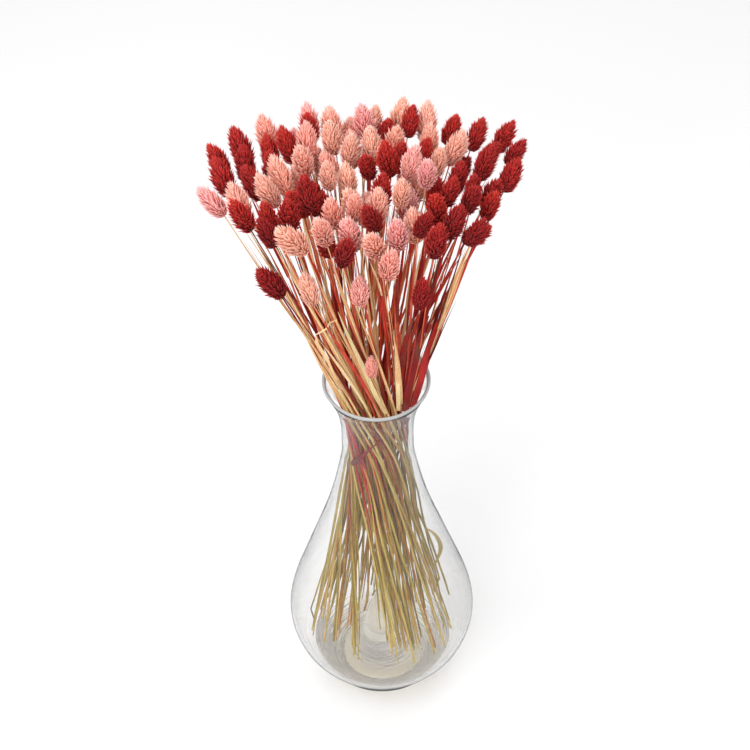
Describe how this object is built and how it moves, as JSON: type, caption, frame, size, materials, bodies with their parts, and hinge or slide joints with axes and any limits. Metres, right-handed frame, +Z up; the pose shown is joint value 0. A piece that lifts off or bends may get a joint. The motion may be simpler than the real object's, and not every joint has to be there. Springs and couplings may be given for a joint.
{
  "type": "dried canary grass in a glass vase",
  "caption": "Bunch of dried canary grass with dense red and pink seed heads on thin straw stems, spread from the neck of a clear bottle-shaped glass vase.",
  "frame": {"origin": "centre of the flat underside of the vase", "axes": "+Z up along the vase's axis, +X to the right and -Y towards the viewer of the picture"},
  "size_m": [0.2356, 0.182, 0.6201],
  "materials": {
    "glass": "clear polished glass",
    "red_grass": "dry dyed grass, matte",
    "pink_grass": "dry dyed grass, matte"
  },
  "bodies": {
    "root": {"pink_grass_01": "pink_grass", "pink_grass_02": "pink_grass", "pink_grass_03": "pink_grass", "pink_grass_04": "pink_grass", "pink_grass_05": "pink_grass", "pink_grass_06": "pink_grass", "pink_grass_07": "pink_grass", "pink_grass_08": "pink_grass", "pink_grass_09": "pink_grass", "pink_grass_10": "pink_grass", "pink_grass_11": "pink_grass", "pink_grass_12": "pink_grass", "pink_grass_13": "pink_grass", "pink_grass_14": "pink_grass", "pink_grass_15": "pink_grass", "pink_grass_16": "pink_grass", "pink_grass_17": "pink_grass", "pink_grass_18": "pink_grass", "pink_grass_19": "pink_grass", "pink_grass_20": "pink_grass", "pink_grass_21": "pink_grass", "pink_grass_22": "pink_grass", "pink_grass_23": "pink_grass", "pink_grass_24": "pink_grass", "pink_grass_25": "pink_grass", "pink_grass_26": "pink_grass", "red_grass_01": "red_grass", "red_grass_02": "red_grass", "red_grass_03": "red_grass", "red_grass_04": "red_grass", "red_grass_05": "red_grass", "red_grass_06": "red_grass", "red_grass_07": "red_grass", "red_grass_08": "red_grass", "red_grass_09": "red_grass", "red_grass_10": "red_grass", "red_grass_11": "red_grass", "red_grass_12": "red_grass", "red_grass_13": "red_grass", "red_grass_14": "red_grass", "red_grass_15": "red_grass", "red_grass_16": "red_grass", "red_grass_17": "red_grass", "red_grass_18": "red_grass", "red_grass_19": "red_grass", "red_grass_20": "red_grass", "red_grass_21": "red_grass", "red_grass_22": "red_grass", "red_grass_23": "red_grass", "red_grass_24": "red_grass", "red_grass_25": "red_grass", "vase": "glass"}
  },
  "joints": []
}
